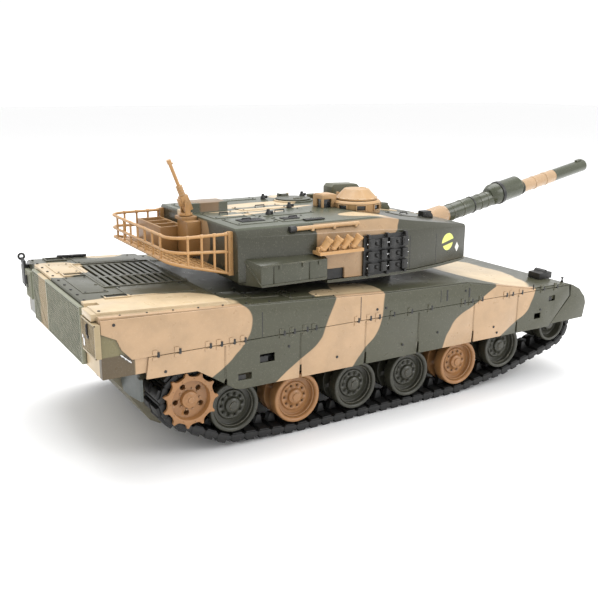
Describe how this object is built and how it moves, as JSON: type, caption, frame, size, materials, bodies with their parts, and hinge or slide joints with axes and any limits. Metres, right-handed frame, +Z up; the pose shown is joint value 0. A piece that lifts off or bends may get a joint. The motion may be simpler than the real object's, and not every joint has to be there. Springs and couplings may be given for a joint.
{
  "type": "rc tank",
  "caption": "Radio-controlled toy battle tank with a traversing turret, elevating gun, rolling wheels in tracks, opening hatches, a rear stowage basket and a battery bay.",
  "frame": {"origin": "bottom centre of the bounding box of the whole model in its stored pose, on the ground plane under the tracks", "axes": "+X forwards, the way the gun points; +Y to the tank's left; +Z up"},
  "size_m": [0.3988, 0.143, 0.1435],
  "materials": {
    "camo_shell": "satin",
    "camo_wheel": "satin",
    "hull_grey": "satin",
    "track_black": "matte",
    "dark_plastic": "satin",
    "basket_tan": "satin",
    "tan_plastic": "satin",
    "battery_metal": "satin",
    "motor_metal": "satin",
    "board_green": "gloss",
    "axle_metal": "satin",
    "screw_metal": "satin"
  },
  "bodies": {
    "hull": {"lower_hull": "hull_grey", "upper_hull": "camo_shell", "engine_grille": "camo_shell", "rear_panel": "camo_shell", "mud_flaps": "hull_grey", "headlights": "dark_plastic", "rear_bracket": "hull_grey", "battery_cells": "battery_metal", "gearboxes": "dark_plastic", "drive_motors": "motor_metal", "circuit_board": "board_green", "traverse_gearbox": "dark_plastic", "axles": "axle_metal", "screws": "screw_metal", "turret_ring": "dark_plastic", "side_panel_left": "camo_shell", "side_panel_right": "camo_shell", "skirt_left": "camo_shell", "skirt_right": "camo_shell", "front_fender_left": "camo_shell", "front_fender_right": "camo_shell", "track_left": "track_black", "track_right": "track_black"},
    "battery_door": {"battery_door": "hull_grey"},
    "power_switch": {"power_switch": "dark_plastic"},
    "sprocket_left": {"sprocket_left": "camo_wheel"},
    "idler_left": {"idler_left": "camo_wheel"},
    "sprocket_right": {"sprocket_right": "camo_wheel"},
    "idler_right": {"idler_right": "camo_wheel"},
    "road_wheel_left_1": {"road_wheel_left_1": "camo_wheel"},
    "road_wheel_left_2": {"road_wheel_left_2": "camo_wheel"},
    "road_wheel_left_3": {"road_wheel_left_3": "camo_wheel"},
    "road_wheel_left_4": {"road_wheel_left_4": "camo_wheel"},
    "road_wheel_left_5": {"road_wheel_left_5": "camo_wheel"},
    "road_wheel_left_6": {"road_wheel_left_6": "camo_wheel"},
    "road_wheel_right_1": {"road_wheel_right_1": "camo_wheel"},
    "road_wheel_right_2": {"road_wheel_right_2": "camo_wheel"},
    "road_wheel_right_3": {"road_wheel_right_3": "camo_wheel"},
    "road_wheel_right_4": {"road_wheel_right_4": "camo_wheel"},
    "road_wheel_right_5": {"road_wheel_right_5": "camo_wheel"},
    "road_wheel_right_6": {"road_wheel_right_6": "camo_wheel"},
    "turret": {"turret_shell": "camo_shell", "turret_base": "camo_shell", "elevation_gearbox": "dark_plastic", "stowage_box_left": "camo_shell", "stowage_box_right": "camo_shell", "smoke_launcher_left": "tan_plastic", "smoke_launcher_right": "tan_plastic", "spare_track_links": "dark_plastic", "basket": "basket_tan", "gear_box": "camo_shell", "cupola": "camo_shell", "roof_sights": "camo_shell", "mg_bracket": "tan_plastic"},
    "commander_hatch": {"commander_hatch": "camo_shell"},
    "gunner_hatch": {"gunner_hatch": "camo_shell"},
    "gun": {"mantlet": "camo_shell", "gun_barrel": "camo_shell"},
    "mg_cradle": {"mg_cradle": "tan_plastic"},
    "machine_gun": {"machine_gun": "tan_plastic"}
  },
  "joints": [
    {"name": "turret_traverse", "type": "hinge", "parent": "hull", "child": "turret", "pos_m": [-0.03444, 0, 0.078], "axis": [0, 0, 1], "range_deg": [-150, 150]},
    {"name": "gun_elevation", "type": "hinge", "parent": "turret", "child": "gun", "pos_m": [0.02356, 0, 0.09], "axis": [0, -1, 0], "range_deg": [-11.5, 3.5]},
    {"name": "commander_hatch_hinge", "type": "hinge", "parent": "turret", "child": "commander_hatch", "pos_m": [-0.01644, -0.0006, 0.1182], "axis": [-1, 0, 0], "range_deg": [0, 85]},
    {"name": "gunner_hatch_hinge", "type": "hinge", "parent": "turret", "child": "gunner_hatch", "pos_m": [-0.03844, 0.037, 0.1143], "axis": [-1, 0, 0], "range_deg": [0, 80]},
    {"name": "mg_traverse", "type": "hinge", "parent": "turret", "child": "mg_cradle", "pos_m": [-0.12144, 0.001, 0.112], "axis": [0, 0, 1], "range_deg": [-100, 100]},
    {"name": "mg_elevation", "type": "hinge", "parent": "mg_cradle", "child": "machine_gun", "pos_m": [-0.12144, 0.001, 0.1195], "axis": [0, 1, 0], "range_deg": [-69, 20]},
    {"name": "battery_door_slide", "type": "slide", "parent": "hull", "child": "battery_door", "axis": [-1, 0, 0], "range_m": [0, 0.012]},
    {"name": "power_switch_slide", "type": "slide", "parent": "hull", "child": "power_switch", "axis": [1, 0, 0], "range_m": [0, 0.006]},
    {"name": "sprocket_left_spin", "type": "hinge", "parent": "hull", "child": "sprocket_left", "pos_m": [-0.15094, 0.056, 0.0322], "axis": [0, 1, 0], "continuous": true},
    {"name": "idler_left_spin", "type": "hinge", "parent": "hull", "child": "idler_left", "pos_m": [0.10406, 0.056, 0.033], "axis": [0, 1, 0], "continuous": true},
    {"name": "road_wheel_left_1_spin", "type": "hinge", "parent": "hull", "child": "road_wheel_left_1", "pos_m": [-0.12604, 0.056, 0.023], "axis": [0, 1, 0], "continuous": true},
    {"name": "road_wheel_left_2_spin", "type": "hinge", "parent": "hull", "child": "road_wheel_left_2", "pos_m": [-0.08854, 0.056, 0.0203], "axis": [0, 1, 0], "continuous": true},
    {"name": "road_wheel_left_3_spin", "type": "hinge", "parent": "hull", "child": "road_wheel_left_3", "pos_m": [-0.05064, 0.056, 0.0203], "axis": [0, 1, 0], "continuous": true},
    {"name": "road_wheel_left_4_spin", "type": "hinge", "parent": "hull", "child": "road_wheel_left_4", "pos_m": [-0.01274, 0.056, 0.0203], "axis": [0, 1, 0], "continuous": true},
    {"name": "road_wheel_left_5_spin", "type": "hinge", "parent": "hull", "child": "road_wheel_left_5", "pos_m": [0.02516, 0.056, 0.0203], "axis": [0, 1, 0], "continuous": true},
    {"name": "road_wheel_left_6_spin", "type": "hinge", "parent": "hull", "child": "road_wheel_left_6", "pos_m": [0.06056, 0.056, 0.0248], "axis": [0, 1, 0], "continuous": true},
    {"name": "sprocket_right_spin", "type": "hinge", "parent": "hull", "child": "sprocket_right", "pos_m": [-0.15094, -0.056, 0.0322], "axis": [0, 1, 0], "continuous": true},
    {"name": "idler_right_spin", "type": "hinge", "parent": "hull", "child": "idler_right", "pos_m": [0.10406, -0.056, 0.033], "axis": [0, 1, 0], "continuous": true},
    {"name": "road_wheel_right_1_spin", "type": "hinge", "parent": "hull", "child": "road_wheel_right_1", "pos_m": [-0.12604, -0.056, 0.023], "axis": [0, 1, 0], "continuous": true},
    {"name": "road_wheel_right_2_spin", "type": "hinge", "parent": "hull", "child": "road_wheel_right_2", "pos_m": [-0.08854, -0.056, 0.0203], "axis": [0, 1, 0], "continuous": true},
    {"name": "road_wheel_right_3_spin", "type": "hinge", "parent": "hull", "child": "road_wheel_right_3", "pos_m": [-0.05064, -0.056, 0.0203], "axis": [0, 1, 0], "continuous": true},
    {"name": "road_wheel_right_4_spin", "type": "hinge", "parent": "hull", "child": "road_wheel_right_4", "pos_m": [-0.01274, -0.056, 0.0203], "axis": [0, 1, 0], "continuous": true},
    {"name": "road_wheel_right_5_spin", "type": "hinge", "parent": "hull", "child": "road_wheel_right_5", "pos_m": [0.02516, -0.056, 0.0203], "axis": [0, 1, 0], "continuous": true},
    {"name": "road_wheel_right_6_spin", "type": "hinge", "parent": "hull", "child": "road_wheel_right_6", "pos_m": [0.06056, -0.056, 0.0248], "axis": [0, 1, 0], "continuous": true}
  ],
  "couplings": [
    {"joint": "idler_left_spin", "follows": "sprocket_left_spin", "ratio": 0.9665},
    {"joint": "road_wheel_left_1_spin", "follows": "sprocket_left_spin", "ratio": 0.8167},
    {"joint": "road_wheel_left_2_spin", "follows": "sprocket_left_spin", "ratio": 0.8167},
    {"joint": "road_wheel_left_3_spin", "follows": "sprocket_left_spin", "ratio": 0.8167},
    {"joint": "road_wheel_left_4_spin", "follows": "sprocket_left_spin", "ratio": 0.8167},
    {"joint": "road_wheel_left_5_spin", "follows": "sprocket_left_spin", "ratio": 0.8167},
    {"joint": "road_wheel_left_6_spin", "follows": "sprocket_left_spin", "ratio": 0.8167},
    {"joint": "idler_right_spin", "follows": "sprocket_right_spin", "ratio": 0.9665},
    {"joint": "road_wheel_right_1_spin", "follows": "sprocket_right_spin", "ratio": 0.8167},
    {"joint": "road_wheel_right_2_spin", "follows": "sprocket_right_spin", "ratio": 0.8167},
    {"joint": "road_wheel_right_3_spin", "follows": "sprocket_right_spin", "ratio": 0.8167},
    {"joint": "road_wheel_right_4_spin", "follows": "sprocket_right_spin", "ratio": 0.8167},
    {"joint": "road_wheel_right_5_spin", "follows": "sprocket_right_spin", "ratio": 0.8167},
    {"joint": "road_wheel_right_6_spin", "follows": "sprocket_right_spin", "ratio": 0.8167}
  ]
}
